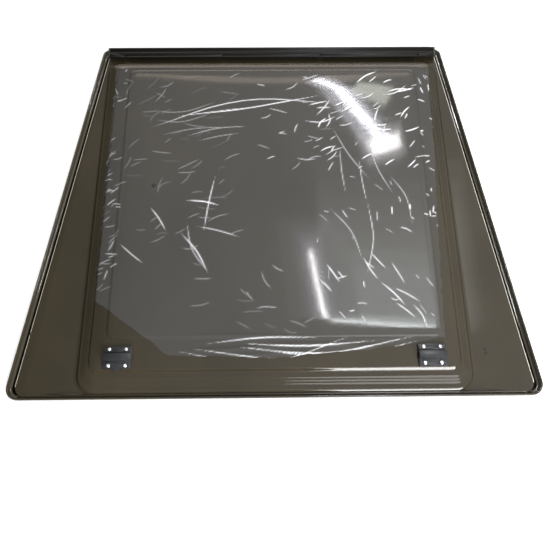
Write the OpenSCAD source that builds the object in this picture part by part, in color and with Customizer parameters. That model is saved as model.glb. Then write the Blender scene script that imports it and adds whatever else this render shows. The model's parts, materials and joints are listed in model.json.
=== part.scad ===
// Hinged double-skin acrylic rooflight pane with its hinge rail, stay brackets and protective film.
// It lies on its outer face: +X runs along the free edge, +Y towards the hinge, +Z out of the inner face.
// The origin is at the middle of the overall box, on the outer face.

/* [Pane] */
// Width along the free edge, between the corners before they are rounded
free_edge_w = 816; // [700:1:1000]
// Width along the hinged edge, between the corners before they are rounded
hinge_edge_w = 626; // [520:1:690]
// Depth from the free edge to the back of the hinge
pane_d = 650; // [520:1:800]
// Radius of the corners at the free edge
free_corner_r = 19; // [12:1:40]
// Radius of the corners at the hinge
hinge_corner_r = 14; // [8:1:20]

/* [Outer skin] */
// Thickness of the outer skin
outer_t = 3; // [2:0.5:5]
// Height of the rim above the outer face
rim_h = 8; // [6:0.5:12]
// Width of the rim
rim_w = 3; // [2:0.5:4]

/* [Inner skin] */
// Thickness of the inner skin
inner_t = 2.5; // [2:0.25:3]
// Distance from the free edge to the cut edge of the inner skin
cut_free = 5; // [4.5:0.5:10]
// Distance from a side to the cut edge of the inner skin
cut_side = 12.5; // [9:0.5:14]
// Radius of the inner skin's corners at the free edge
cut_free_r = 16; // [8:1:30]
// Radius of the inner skin's corners at the hinge
cut_hinge_r = 6; // [2:0.5:10]
// Thickness of the bond between the skins
bond_t = 0.5; // [0.3:0.1:1]
// Width of the bond
bond_w = 12; // [6:1:20]

/* [Plateau] */
// Distance from the free edge to the foot of the plateau
plateau_free = 11; // [10.5:0.5:30]
// Distance from each hinged corner to the foot of the plateau
plateau_side = 13; // [13:0.5:30]
// Distance from the back of the hinge to the foot of the plateau
plateau_hinge = 33; // [33:1:50]
// Radius of the plateau's corners at its foot
plateau_r = 25; // [18:1:40]
// Height of the plateau's top above the outer face
plateau_z = 18; // [16:0.5:30]
// Height of the raised field above the plateau
field_h = 1.5; // [0.5:0.25:3]
// Distance from the foot of the plateau to the field, at the free edge
field_free = 80; // [75:1:140]
// Distance from the foot of the plateau to the field, at the sides
field_side = 42; // [24:1:60]
// Distance from the foot of the plateau to the field, at the hinge
field_hinge = 26; // [20:1:60]

/* [Plateau steps] */
// How far the second step stands in at the free edge, the sides and the hinge
second_step = [13, 9, 8]; // [4:1:20]
// How far the top stands in at the free edge, the sides and the hinge
top_edge = [29, 18, 12]; // [10:1:40]

/* [Hinge rail] */
// Distance from each hinged corner to the end of the rail
rail_inset = 10; // [8:0.5:30]
// Depth of the roof leaf, from its free edge to the back of the hinge
rail_d = 26.5; // [24:0.5:31]
// Radius of the bead that the roof profile turns on
bead_r = 2.2; // [1.8:0.1:2.6]
// Running clearance between bead and socket
bead_gap = 0.08; // [0.05:0.01:0.1]
// Wall of the socket
socket_wall = 1.5; // [1:0.1:1.8]
// Thickness of the neck that carries the bead
neck_t = 1.2; // [0.8:0.1:1.4]
// Thickness of the pane profile's base and back wall
base_t = 1.5; // [1:0.1:1.8]
// Thickness of the bedding tape under the pane profile
tape_t = 0.3; // [0.2:0.1:0.5]
// Thickness of the roof leaf
leaf_t = 2; // [1.5:0.1:2.4]
// How far the pane opens, in degrees
open_angle = 60; // [30:1:75]
// Thickness of an end cap
cap_t = 3; // [2:0.5:5]

/* [Roof screws] */
// Distance from each end of the rail to its outer roof screw hole
roof_hole_end = 33; // [15:1:60]
// Distance between the inner pair of roof screw holes
roof_hole_inner = 180; // [60:1:300]
// Radius of a roof screw hole
roof_hole_r = 2.1; // [1.5:0.05:2.4]

/* [Stay brackets] */
// Distance from the side of the plateau's foot to the centre of a bracket
bracket_side = 62; // [46:1:110]
// Distance from the plateau's foot at the free edge to the centre of a bracket
bracket_free = 49; // [48:0.5:56]
// Width of a bracket
bracket_w = 42; // [34:1:52]
// Depth of a bracket
bracket_d = 34; // [28:0.5:36]
// Thickness of a bracket's base
bracket_t = 3; // [2:0.25:4]
// Height of the raised channel above the base
channel_h = 6; // [5:0.25:9]
// Width of the opening inside the channel
channel_w = 6.5; // [5:0.25:7]
// Wall of the channel
channel_wall = 2; // [1.5:0.25:2.25]
// Thickness of the foam pad under a bracket
pad_t = 0.8; // [0.5:0.1:2]

/* [Bracket screws] */
// Distance from a screw to the end of its bracket
screw_end = 8.5; // [4:0.5:11]
// Distance from a screw to the long edge of its bracket
screw_edge = 4.75; // [4:0.25:5.25]
// Radius of a screw's shank
screw_r = 1.7; // [1.4:0.1:1.9]
// Radius of a screw's head
screw_head_r = 3; // [2.6:0.1:3.2]
// Height of a screw's head
screw_head_h = 2.2; // [1.6:0.1:3]
// Length of a screw under its head
screw_l = 16; // [12:0.5:16.5]

/* [Plugs and film] */
// Radius of a breather plug's head
plug_r = 2.2; // [1.9:0.1:3]
// Height of a breather plug's head
plug_h = 1.2; // [0.8:0.1:2]
// Thickness of the protective film
film_t = 0.3; // [0.2:0.1:1]

/* [Hidden] */
$fn = 48;

// Overlap that keeps cuts clean
cut = 1;
// Gap between pieces that pass each other
gap = 0.3;

// Outline of the pane
y_free = -pane_d / 2;
y_back = pane_d / 2;
y_cut = y_back - base_t;
side_slope = (free_edge_w - hinge_edge_w) / 2 / pane_d;
side_angle = atan(side_slope);
function half_width(y) = free_edge_w / 2 - side_slope * (y - y_free);

// Heights, from the outer face up
bond_z = outer_t;
flange_z = bond_z + bond_t;
flange_top = flange_z + inner_t;
base_z = flange_top + tape_t;
base_top = base_z + base_t;
field_z = plateau_z + field_h;

// The plateau rises in three steps, then the field: distances in from the foot at the free edge,
// at the sides and at the hinge, the corner radius and the height of the top
step_1_z = flange_top + (plateau_z - flange_top) / 3;
step_2_z = flange_top + (plateau_z - flange_top) * 2 / 3;
foot_step = [0, 0, 0, plateau_r, step_1_z];
middle_step = concat(second_step, [plateau_r - 6, step_2_z]);
top_step = concat(top_edge, [plateau_r - 10, plateau_z]);
field_step = [field_free, field_side, field_hinge, plateau_r - 14, field_z];
steps = [foot_step, middle_step, top_step, field_step];
foot_x = hinge_edge_w / 2 - plateau_side;
foot_y0 = y_free + plateau_free;
foot_y1 = y_back - plateau_hinge;
field_x = foot_x - field_side;
field_y0 = foot_y0 + field_free;
field_y1 = foot_y1 - field_hinge;

// Hinge section, in the plane of Y and Z
rail_l = hinge_edge_w - 2 * rail_inset;
roof_hole_outer = rail_l - 2 * roof_hole_end;
socket_r = bead_r + bead_gap;
socket_outer_r = socket_r + socket_wall;
swing_gap = 0.5;
axis_y = y_cut - swing_gap - socket_outer_r;
axis_z = base_top + swing_gap + socket_outer_r;
leaf_top = axis_z + socket_outer_r;
leaf_y = y_back - rail_d;
profile_l = rail_l - 2 * cap_t;
end_play = 0.5;
wall_top = axis_z - 2 * bead_gap - bead_r;
wall_bottom = 0.5;
play_angle = asin((neck_t / 2 + 0.35) / bead_r);
mouth_from = 270 - play_angle;
mouth_to = 270 + play_angle + open_angle;
recess_depth = 0.8;
recess_l = 6;
recess_y = axis_y - socket_outer_r - recess_l + 1;
port_r = 1.3;
port_wall = 1;
port_y = recess_y + recess_l / 2;
port_z = leaf_top - recess_depth - port_wall - port_r;
spigot_r = port_r - 0.05;
spigot_l = 8;
seal_t = 1.2;
seal_y = leaf_y + 8;
base_y = leaf_y + 7;
roof_hole_y = leaf_y + 4;
countersink_r = roof_hole_r + 1;
countersink_h = 1;

// Brackets and what holds them
bracket_x = foot_x - bracket_side;
bracket_cy = foot_y0 + bracket_free;
screw_dx = bracket_w - 2 * screw_end;
screw_dy = bracket_d - 2 * screw_edge;
pad_top = plateau_z + pad_t;
bracket_top = pad_top + bracket_t;
screw_hole_r = screw_r + 0.4;
thread_hole_r = screw_r + 0.05;
pad_inset = 1;
block_top = plateau_z - inner_t;
thread_depth = min(screw_l - bracket_t - pad_t - inner_t + 1, block_top - bond_z - 1);
channel_floor = 1.2;
tab_w = 11;
tab_d = 3;
groove_w = 2;
groove_depth = 1;

// Breather plugs: [distance from the side or centre line, distance from the free edge]
stem_r = 1.4;
plug_hole_r = stem_r + 0.1;
plug_rear_y = foot_y0 + 91;
plug_front_y = foot_y0 + 51;
plug_right_rear_y = foot_y0 + 60;
plug_right_front_y = foot_y0 + 53.5;
plug_side_x = (foot_x + half_width(plug_front_y)) / 2;
plug_left_x = plug_side_x + 29;
plug_right_x = plug_side_x - 24;
plug_centre = [57 - field_x, (foot_y0 + foot_y1) / 2 + 39];
plug_places = [[-plug_left_x, plug_front_y], [-plug_left_x, plug_rear_y],
    [plug_right_x, plug_right_front_y], [plug_right_x, plug_right_rear_y]];

// Outline of the pane, each edge moved in by its own distance
module pane_outline(free, side, hinge, r_free, r_hinge) {
    y0 = y_free + free;
    y1 = y_back - hinge;
    x0 = half_width(y0 + r_free) - (side + r_free) / cos(side_angle);
    x1 = half_width(y1 - r_hinge) - (side + r_hinge) / cos(side_angle);
    right = [[x0, y0],
        [x0 + r_free * cos(side_angle), y0 + r_free + r_free * sin(side_angle)],
        [x1 + r_hinge * cos(side_angle), y1 - r_hinge + r_hinge * sin(side_angle)],
        [x1, y1]];
    left = [for (i = [3:-1:0]) [-right[i][0], right[i][1]]];
    polygon(concat(right, left));
    for (s = [-1, 1]) {
        translate([s * x0, y0 + r_free]) circle(r = r_free);
        translate([s * x1, y1 - r_hinge]) circle(r = r_hinge);
    }
}

module rounded_box(x0, x1, y0, y1, r, z0, z1) {
    translate([0, 0, z0]) linear_extrude(z1 - z0) {
        translate([x0 + r, y0]) square([x1 - x0 - 2 * r, y1 - y0]);
        translate([x0, y0 + r]) square([x1 - x0, y1 - y0 - 2 * r]);
        for (x = [x0 + r, x1 - r], y = [y0 + r, y1 - r]) translate([x, y]) circle(r = r);
    }
}

// One step of the plateau, drawn in by a wall all round
module plateau_step(step, wall, z0) {
    rounded_box(-foot_x + step[1] + wall, foot_x - step[1] - wall, foot_y0 + step[0] + wall,
        foot_y1 - step[2] - wall, step[3] - wall, z0, step[4] - wall);
}

// Draws a section in Y and Z, given in those coordinates, along X
module along_x(length) {
    translate([-length / 2, 0, 0]) rotate([90, 0, 90]) linear_extrude(length) children();
}

module outer_pane() {
    rail_room = rail_l / 2 + 1.5;
    room_y = leaf_y - 2;
    color([0.2, 0.17, 0.13, 0.8]) difference() {
        linear_extrude(rim_h) pane_outline(0, 0, base_t, free_corner_r, hinge_corner_r);
        translate([0, 0, outer_t]) linear_extrude(rim_h)
            pane_outline(rim_w, rim_w, -cut, free_corner_r - rim_w, hinge_corner_r - rim_w);
        translate([-rail_room, room_y, outer_t]) cube([2 * rail_room, rail_d + 10, rim_h]);
    }
}

module inner_pane() {
    color([0.26, 0.23, 0.19, 0.7]) difference() {
        union() {
            translate([0, 0, flange_z]) linear_extrude(inner_t)
                pane_outline(cut_free, cut_side, base_t, cut_free_r, cut_hinge_r);
            for (s = steps) plateau_step(s, 0, flange_z);
        }
        for (s = steps) plateau_step(s, inner_t, flange_z - cut);
        for (s = [-1, 1]) translate([s * bracket_x, bracket_cy, 0]) screw_places()
            cylinder(r = screw_hole_r, h = plateau_z + cut);
        for (p = plug_places) translate([p[0], p[1], 0]) cylinder(r = plug_hole_r, h = plateau_z);
        translate([plug_centre[0], plug_centre[1], 0]) cylinder(r = plug_hole_r, h = field_z + cut);
    }
}

module edge_bond() {
    color([0.75, 0.73, 0.68]) translate([0, 0, bond_z]) difference() {
        linear_extrude(bond_t) pane_outline(cut_free, cut_side, base_t, cut_free_r, cut_hinge_r);
        translate([0, 0, -cut]) linear_extrude(bond_t + 2 * cut)
            pane_outline(cut_free + bond_w, cut_side + bond_w, base_t + bond_w, cut_free_r, cut_hinge_r);
        plateau_step([-1, -1, -1, plateau_r + 1, bond_t + cut], 0, -cut);
    }
}

module pane_hinge_profile() {
    neck_bottom = base_top - base_t / 2;
    color([0.07, 0.07, 0.075]) along_x(profile_l - 2 * end_play) {
        translate([base_y, base_z]) square([y_back - base_y, base_t]);
        translate([y_cut, wall_bottom]) square([base_t, wall_top - wall_bottom]);
        translate([axis_y - neck_t / 2, neck_bottom]) square([neck_t, axis_z - neck_bottom]);
        translate([axis_y, axis_z]) circle(r = bead_r);
    }
}

module hinge_bedding_tape() {
    color([0.12, 0.12, 0.12]) translate([-profile_l / 2 + end_play, base_y + 1, flange_top])
        cube([profile_l - 2 * end_play, y_cut - base_y - 2, tape_t]);
}

// Section of the roof profile's outside, without its bores
module roof_section() {
    translate([axis_y, axis_z]) circle(r = socket_outer_r);
    translate([leaf_y, leaf_top - leaf_t]) square([axis_y - leaf_y, leaf_t]);
    translate([port_y - port_r - port_wall, port_z - port_r - port_wall])
        square([2 * (port_r + port_wall), leaf_top - port_z + port_r + port_wall]);
}

module roof_hinge_profile() {
    reach = 3 * socket_outer_r;
    color([0.09, 0.09, 0.095]) difference() {
        along_x(profile_l) difference() {
            roof_section();
            translate([axis_y, axis_z]) {
                circle(r = socket_r);
                polygon(concat([[0, 0]], [for (a = [mouth_from, (mouth_from + mouth_to) / 2, mouth_to])
                    [reach * cos(a), reach * sin(a)]]));
            }
            translate([recess_y, leaf_top - recess_depth]) square([recess_l, recess_depth + cut]);
            translate([port_y, port_z]) circle(r = port_r);
        }
        for (d = [roof_hole_outer, roof_hole_inner], s = [-1, 1])
            translate([s * d / 2, roof_hole_y, leaf_top]) {
                translate([0, 0, -leaf_t - cut]) cylinder(r = roof_hole_r, h = leaf_t + 2 * cut);
                translate([0, 0, -leaf_t]) cylinder(r1 = countersink_r, r2 = roof_hole_r, h = countersink_h);
            }
    }
}

// Plate that closes the end of the roof profile, with a spigot in its port
module rail_end_cap(side) {
    plate_x = side * (profile_l + cap_t) / 2;
    spigot_x = side > 0 ? profile_l / 2 - spigot_l : -profile_l / 2 - cap_t / 2;
    color([0.05, 0.05, 0.05]) {
        translate([plate_x, 0, 0]) along_x(cap_t) {
            translate([axis_y, axis_z]) circle(r = socket_outer_r);
            translate([leaf_y, leaf_top - leaf_t]) square([axis_y - leaf_y, leaf_t]);
            translate([seal_y, axis_z - socket_outer_r]) square([axis_y - seal_y, 2 * socket_outer_r]);
        }
        translate([spigot_x, port_y, port_z]) rotate([0, 90, 0])
            cylinder(r = spigot_r, h = spigot_l + cap_t / 2);
    }
}

module rail_seal() {
    color([0.04, 0.04, 0.04]) translate([-profile_l / 2, seal_y, base_top + gap])
        cube([profile_l, seal_t, leaf_top - leaf_t - base_top - gap]);
}

// Puts its children at the four screws of a bracket
module screw_places() {
    for (x = [-1, 1], y = [-1, 1]) translate([x * screw_dx / 2, y * screw_dy / 2, 0]) children();
}

module stay_bracket(side) {
    channel_outer = channel_w + 2 * channel_wall;
    roof_z = bracket_t + channel_h;
    color([0.06, 0.06, 0.065]) translate([side * bracket_x, bracket_cy, pad_top]) difference() {
        union() {
            translate([-bracket_w / 2, -bracket_d / 2, 0]) cube([bracket_w, bracket_d, bracket_t]);
            translate([-bracket_w / 2, -channel_outer / 2, 0]) cube([bracket_w, channel_outer, roof_z]);
            if (side < 0) translate([-tab_w / 2, -bracket_d / 2 - tab_d, 0])
                cube([tab_w, tab_d + cut, bracket_t]);
        }
        translate([-bracket_w / 2 - cut, -channel_w / 2, channel_floor])
            cube([bracket_w + 2 * cut, channel_w, roof_z - channel_floor - channel_wall]);
        translate([-bracket_w / 2 - cut, channel_outer / 2, bracket_t - groove_depth])
            cube([bracket_w + 2 * cut, groove_w, groove_depth + cut]);
        translate([0, 0, -cut]) screw_places() cylinder(r = screw_hole_r, h = bracket_t + 2 * cut);
    }
}

module bracket_pad(side) {
    w = bracket_w - 2 * pad_inset;
    d = bracket_d - 2 * pad_inset;
    color([0.15, 0.15, 0.15]) translate([side * bracket_x, bracket_cy, plateau_z]) difference() {
        translate([-w / 2, -d / 2, 0]) cube([w, d, pad_t]);
        translate([0, 0, -cut]) screw_places() cylinder(r = screw_hole_r, h = pad_t + 2 * cut);
    }
}

module bracket_screws(side) {
    slot_w = 1;
    color([0.85, 0.85, 0.86]) translate([side * bracket_x, bracket_cy, bracket_top]) screw_places() {
        translate([0, 0, -screw_l]) cylinder(r = screw_r, h = screw_l + screw_head_h / 2);
        difference() {
            cylinder(r = screw_head_r, h = screw_head_h);
            for (a = [0, 90]) rotate(a) translate([-screw_head_r * 0.6, -slot_w / 2, screw_head_h / 2 + 0.2])
                cube([screw_head_r * 1.2, slot_w, screw_head_h]);
        }
    }
}

module backing_block(side) {
    color([0.3, 0.28, 0.25]) translate([side * bracket_x, bracket_cy, bond_z]) difference() {
        translate([-bracket_w / 2, -bracket_d / 2, 0]) cube([bracket_w, bracket_d, block_top - bond_z]);
        translate([0, 0, block_top - bond_z - thread_depth]) screw_places()
            cylinder(r = thread_hole_r, h = thread_depth + cut);
    }
}

module breather_plug(place, z) {
    color([0.05, 0.05, 0.05]) translate([place[0], place[1], z]) {
        cylinder(r = plug_r, h = plug_h);
        translate([0, 0, -inner_t]) cylinder(r = stem_r, h = inner_t + plug_h / 2);
    }
}

// A torn sheet: square at the hinge, cut across at the left bracket, drawn in at the right one
module protective_film() {
    over = 14;
    color([0.8, 0.83, 0.85, 0.4]) translate([0, 0, field_z + gap]) difference() {
        linear_extrude(film_t) polygon([[-field_x - 27, field_y1 + over], [field_x + 28, field_y1 + over],
            [field_x + 3, field_y0 - 2], [field_x - 70, field_y0 - 15], [-field_x + 99, field_y0 - 29],
            [-field_x - 24, field_y0 + 62]]);
        translate([plug_centre[0], plug_centre[1], -cut]) cylinder(r = plug_r + 1, h = film_t + 2 * cut);
    }
}

outer_pane();
inner_pane();
edge_bond();
pane_hinge_profile();
hinge_bedding_tape();
stay_bracket(-1);  // stay_bracket_left
stay_bracket(1);  // stay_bracket_right
bracket_pad(-1);  // bracket_pad_left
bracket_pad(1);  // bracket_pad_right
bracket_screws(-1);  // bracket_screws_left
bracket_screws(1);  // bracket_screws_right
backing_block(-1);  // backing_block_left
backing_block(1);  // backing_block_right
breather_plug(plug_places[0], flange_top);  // breather_plug_left_front
breather_plug(plug_places[1], flange_top);  // breather_plug_left_rear
breather_plug(plug_places[2], flange_top);  // breather_plug_right_front
breather_plug(plug_places[3], flange_top);  // breather_plug_right_rear
breather_plug(plug_centre, field_z);  // breather_plug_centre
protective_film();
roof_hinge_profile();
rail_end_cap(-1);  // rail_end_cap_left
rail_end_cap(1);  // rail_end_cap_right
rail_seal();
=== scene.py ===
"""Dresses a hinged smoked acrylic rooflight pane, laid inner face up on a pale studio floor."""

import json
import math

import bmesh
import bpy
import numpy as np
from bpy.props import (
    FloatProperty,
    FloatVectorProperty,
    IntProperty,
    PointerProperty,
)
from mathutils import Matrix, Vector
from mathutils.bvhtree import BVHTree

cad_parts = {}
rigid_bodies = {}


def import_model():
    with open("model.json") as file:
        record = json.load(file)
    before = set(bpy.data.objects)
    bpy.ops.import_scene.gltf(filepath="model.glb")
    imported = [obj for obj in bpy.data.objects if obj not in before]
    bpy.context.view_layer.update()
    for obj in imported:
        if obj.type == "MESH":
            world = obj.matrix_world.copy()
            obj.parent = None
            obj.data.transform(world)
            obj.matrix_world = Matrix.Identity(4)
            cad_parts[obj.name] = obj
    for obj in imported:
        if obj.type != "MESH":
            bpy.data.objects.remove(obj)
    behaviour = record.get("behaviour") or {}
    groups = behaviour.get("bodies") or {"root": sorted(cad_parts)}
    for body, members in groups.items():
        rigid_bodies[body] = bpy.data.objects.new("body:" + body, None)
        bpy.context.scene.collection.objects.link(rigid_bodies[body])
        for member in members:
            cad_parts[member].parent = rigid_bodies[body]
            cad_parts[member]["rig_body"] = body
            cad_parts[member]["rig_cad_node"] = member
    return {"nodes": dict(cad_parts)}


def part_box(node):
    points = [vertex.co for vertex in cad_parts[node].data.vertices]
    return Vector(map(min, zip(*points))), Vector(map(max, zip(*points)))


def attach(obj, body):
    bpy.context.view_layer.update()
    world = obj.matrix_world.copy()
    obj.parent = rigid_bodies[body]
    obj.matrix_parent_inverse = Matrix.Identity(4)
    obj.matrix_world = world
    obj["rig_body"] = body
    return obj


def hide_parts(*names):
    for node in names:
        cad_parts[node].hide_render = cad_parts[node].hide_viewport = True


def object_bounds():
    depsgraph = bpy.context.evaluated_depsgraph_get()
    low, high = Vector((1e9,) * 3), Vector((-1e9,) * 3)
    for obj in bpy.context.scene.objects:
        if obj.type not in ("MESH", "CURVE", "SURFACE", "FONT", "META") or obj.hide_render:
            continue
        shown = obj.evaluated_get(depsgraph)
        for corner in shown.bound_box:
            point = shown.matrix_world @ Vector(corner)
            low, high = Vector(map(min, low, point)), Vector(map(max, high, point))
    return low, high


bl_info = {
    "name": "Rooflight pane",
    "version": (1, 0, 0),
    "blender": (4, 2, 0),
    "location": "View3D > Sidebar > Rooflight",
    "description": "Models and finishes a hinged smoked acrylic rooflight pane",
    "category": "Object",
}

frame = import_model()
CAD_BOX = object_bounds()
MM = 0.001

# Boxes of the CAD nodes that the pieces are built on
OUTER_LOW, OUTER_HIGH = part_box("outer_pane")
INNER_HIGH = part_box("inner_pane")[1]
FILM_LOW, FILM_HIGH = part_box("protective_film")
TAPE_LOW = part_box("hinge_bedding_tape")[0]
RAIL_LOW, RAIL_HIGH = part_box("roof_hinge_profile")
PAD_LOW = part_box("bracket_pad_right")[0]


def length(name, text, default, low=0.0, high=10.0):
    """A distance that a user can change."""
    return FloatProperty(
        name=name, description=text, default=default, min=low, max=high,
        subtype="DISTANCE", unit="LENGTH", precision=4,
    )


def lengths(name, text, default):
    """Three distances: at the free edge, at the sides and at the hinge."""
    return FloatVectorProperty(
        name=name, description=text, default=default, size=3, subtype="XYZ_LENGTH", precision=4,
    )


def share(name, text, default):
    """A share from 0 to 1."""
    return FloatProperty(name=name, description=text, default=default, min=0.0, max=1.0, subtype="FACTOR")


def tint(name, text, default):
    """A colour that a user can change."""
    return FloatVectorProperty(
        name=name, description=text, default=default, size=3, min=0.0, max=1.0, subtype="COLOR",
    )


class SkinSizes(bpy.types.PropertyGroup):
    """Sizes of the outer and inner skins"""

    side_angle: FloatProperty(
        name="Side angle", description="How far each side leans in towards the hinge",
        default=math.atan(0.146154), min=0.0, max=0.5, subtype="ANGLE", unit="ROTATION",
    )
    free_corner: length("Free corners", "Radius of the outer corners at the free edge", 19 * MM)
    hinge_corner: length("Hinge corners", "Radius of the outer corners at the hinge", 14 * MM)
    rim_width: length("Rim width", "Width of the upturned rim", 3 * MM)
    rim_round: length("Rim rounding", "Radius of the rim's top", 1.1 * MM)
    sheet: length("Sheet", "Thickness of the outer skin", 3 * MM)
    cut_free: length("Cut at the free edge", "From the free edge to the inner skin", 5 * MM)
    cut_side: length("Cut at the sides", "From a side to the inner skin", 12.5 * MM)
    cut_free_corner: length(
        "Cut free corners", "Radius of the inner skin's corners at the free edge", 16 * MM
    )
    cut_hinge_corner: length("Cut hinge corners", "Radius of the inner skin's corners at the hinge", 6 * MM)
    inner_sheet: length("Inner sheet", "Thickness of the inner skin", 2.5 * MM)
    pillow: length("Pillow", "How far the raised field swells at its middle", 1.4 * MM)


class StepSizes(bpy.types.PropertyGroup):
    """Sizes of the plateau's steps"""

    foot_free: length("Foot at the free edge", "From the free edge to the plateau's foot", 11 * MM)
    foot_half_width: length("Half width of the foot", "From the middle to the plateau's side", 300 * MM)
    foot_hinge: length("Foot at the hinge", "From the back of the hinge to the plateau's foot", 33 * MM)
    foot_corner: length("Foot corners", "Radius of the plateau's corners at its foot", 25 * MM)
    middle: lengths("Middle step", "How far the middle step stands in", (13 * MM, 9 * MM, 8 * MM))
    top: lengths("Top step", "How far the top stands in", (29 * MM, 18 * MM, 12 * MM))
    field: lengths("Field", "How far the raised field stands in", (80 * MM, 42 * MM, 26 * MM))
    run: lengths("Run", "How far a step runs while it rises", (6 * MM, 4.5 * MM, 4 * MM))
    slope: length("Slope", "How much each tread rises to the next step", 0.15 * MM)
    rib: lengths("Ribs", "How far apart the ribs of the middle step are", (4.3 * MM, 3 * MM, 2.6 * MM))


class FilmSizes(bpy.types.PropertyGroup):
    """Sizes of the protective film and its wrinkles"""

    seed: IntProperty(name="Seed", description="Start of the wrinkles' random draws", default=11, min=0)
    columns: IntProperty(name="Columns", description="Squares across the film", default=308, min=40, max=310)
    lift: length("Lift", "How far the film lies above the acrylic", 0.35 * MM)
    cut_side: length("Cut at the side", "How far the left corner is cut back along the side", 91 * MM)
    cut_edge: length("Cut at the edge", "How far the left corner is cut back along the edge", 123 * MM)


class Finishes(bpy.types.PropertyGroup):
    """Colours of the finishes"""

    outer_acrylic: tint("Outer acrylic", "Smoked acrylic of the outer skin", (0.029, 0.0238, 0.014))
    inner_acrylic: tint("Inner acrylic", "Smoked acrylic of the inner skin", (0.030, 0.0243, 0.0145))
    acrylic_cover: share("Acrylic cover", "How much of what lies under the acrylic it hides", 0.90)
    aluminium: tint("Black aluminium", "Anodised hinge profiles", (0.004, 0.004, 0.004))
    plastic: tint("Black plastic", "Moulded brackets and end caps", (0.016, 0.017, 0.018))
    rubber: tint("Black rubber", "Seal and plugs", (0.012, 0.012, 0.012))
    film_tone: tint("Film", "Tone that the clear film lends to the acrylic", (0.15, 0.155, 0.165))
    # Painted highlight as well as stress whitening: the creases are coloured white for the light that they
    # catch and for the whitening of the stretched film
    film_crease_white_and_highlight: tint("Film crease", "White of the film's creases", (0.90, 0.90, 0.92))
    # Painted highlight: the sawn edge of the inner skin is coloured pale for the light that it catches
    cut_edge: tint("Cut edge", "Pale edge of the inner skin where it was sawn", (0.72, 0.68, 0.58))
    steel: tint("Bright steel", "Screws", (0.86, 0.86, 0.87))
    floor: tint("Floor", "Studio floor", (0.93, 0.93, 0.93))


class StageSizes(bpy.types.PropertyGroup):
    """Camera and lights"""

    eye: FloatVectorProperty(
        name="Eye", description="Where the camera stands", default=(-0.0056, -0.4709, 0.9113),
        size=3, subtype="TRANSLATION",
    )
    eye_pitch: FloatProperty(
        name="Pitch", description="How far the camera looks down",
        default=math.radians(69.5), subtype="ANGLE", unit="ROTATION",
    )
    eye_yaw: FloatProperty(
        name="Yaw", description="How far the camera looks to the right",
        default=math.radians(1.76), subtype="ANGLE", unit="ROTATION",
    )
    eye_roll: FloatProperty(
        name="Roll", description="How far the camera is tilted",
        default=math.radians(1.19), subtype="ANGLE", unit="ROTATION",
    )
    lens: FloatProperty(
        name="Lens", description="Focal length", default=38.92, min=5.0, subtype="DISTANCE_CAMERA",
    )
    ceiling: length("Ceiling", "Height of the lights over the pane", 2.2)


class RooflightSettings(bpy.types.PropertyGroup):
    """All that a user can change"""

    skins: PointerProperty(type=SkinSizes)
    steps: PointerProperty(type=StepSizes)
    film: PointerProperty(type=FilmSizes)
    finishes: PointerProperty(type=Finishes)
    stage: PointerProperty(type=StageSizes)


def settings():
    """The settings of this scene."""
    return bpy.context.scene.rooflight


# ---------------------------------------------------------------- modelling helpers


def deselect_all():
    """Leaves edit mode and deselects every object."""
    if bpy.context.object and bpy.context.object.mode != "OBJECT":
        bpy.ops.object.mode_set(mode="OBJECT")
    bpy.ops.object.select_all(action="DESELECT")


def work_on(piece):
    """Selects one piece alone and makes it the active one."""
    deselect_all()
    piece.select_set(True)
    bpy.context.view_layer.objects.active = piece


def edit(piece):
    """Opens a piece in edit mode with nothing selected."""
    work_on(piece)
    bpy.ops.object.mode_set(mode="EDIT")
    bpy.ops.mesh.select_all(action="DESELECT")


def close_edit():
    """Back to object mode."""
    bpy.ops.object.mode_set(mode="OBJECT")


def take_name(name):
    """Names the piece that was just added."""
    piece = bpy.context.object
    piece.name = name
    piece.data.name = name
    return piece


def select(kind, test):
    """Selects the vertices, edges or faces of the open piece that pass a test."""
    bpy.ops.mesh.select_mode(type=kind)
    bpy.ops.mesh.select_all(action="DESELECT")
    open_mesh = bmesh.from_edit_mesh(bpy.context.object.data)
    items = {"VERT": open_mesh.verts, "EDGE": open_mesh.edges, "FACE": open_mesh.faces}[kind]
    for item in items:
        if test(item):
            item.select_set(True)
    open_mesh.select_flush_mode()
    bmesh.update_edit_mesh(bpy.context.object.data)


def add_block(name, low, high):
    """A block between two corners, with its place in its mesh."""
    deselect_all()
    low, high = Vector(low), Vector(high)
    bpy.ops.mesh.primitive_cube_add(size=1, location=(low + high) / 2, scale=high - low)
    block = take_name(name)
    bpy.ops.object.transform_apply(location=True, rotation=True, scale=True)
    return block


def modify(piece, kind, **values):
    """Adds a modifier, sets it and applies it."""
    work_on(piece)
    bpy.ops.object.modifier_add(type=kind)
    modifier = piece.modifiers[-1]
    for name, value in values.items():
        setattr(modifier, name, value)
    bpy.ops.object.modifier_apply(modifier=modifier.name)


def cut_away(piece, cutter):
    """Cuts one piece with another, which is then removed."""
    modify(piece, "BOOLEAN", operation="DIFFERENCE", object=cutter, solver="EXACT")
    bpy.data.objects.remove(cutter)


def soften(piece, width, segments=2, angle=30):
    """Rounds the sharp edges of a piece."""
    modify(
        piece, "BEVEL", width=width, segments=segments, limit_method="ANGLE",
        angle_limit=math.radians(angle), harden_normals=False, use_clamp_overlap=True,
    )


def copy_node(name, node):
    """A copy of a CAD node with its triangles merged into whole faces."""
    deselect_all()
    source = frame["nodes"][node]
    source.select_set(True)
    bpy.context.view_layer.objects.active = source
    bpy.ops.object.duplicate()
    piece = bpy.context.object
    piece.parent = None
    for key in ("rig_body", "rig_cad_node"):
        if key in piece:
            del piece[key]
    take_name(name)
    piece.data.materials.clear()
    edit(piece)
    bpy.ops.mesh.customdata_custom_splitnormals_clear()
    bpy.ops.mesh.select_all(action="SELECT")
    bpy.ops.mesh.remove_doubles(threshold=0.01 * MM)
    bpy.ops.mesh.dissolve_limited(angle_limit=math.radians(1))
    close_edit()
    return piece


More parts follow.
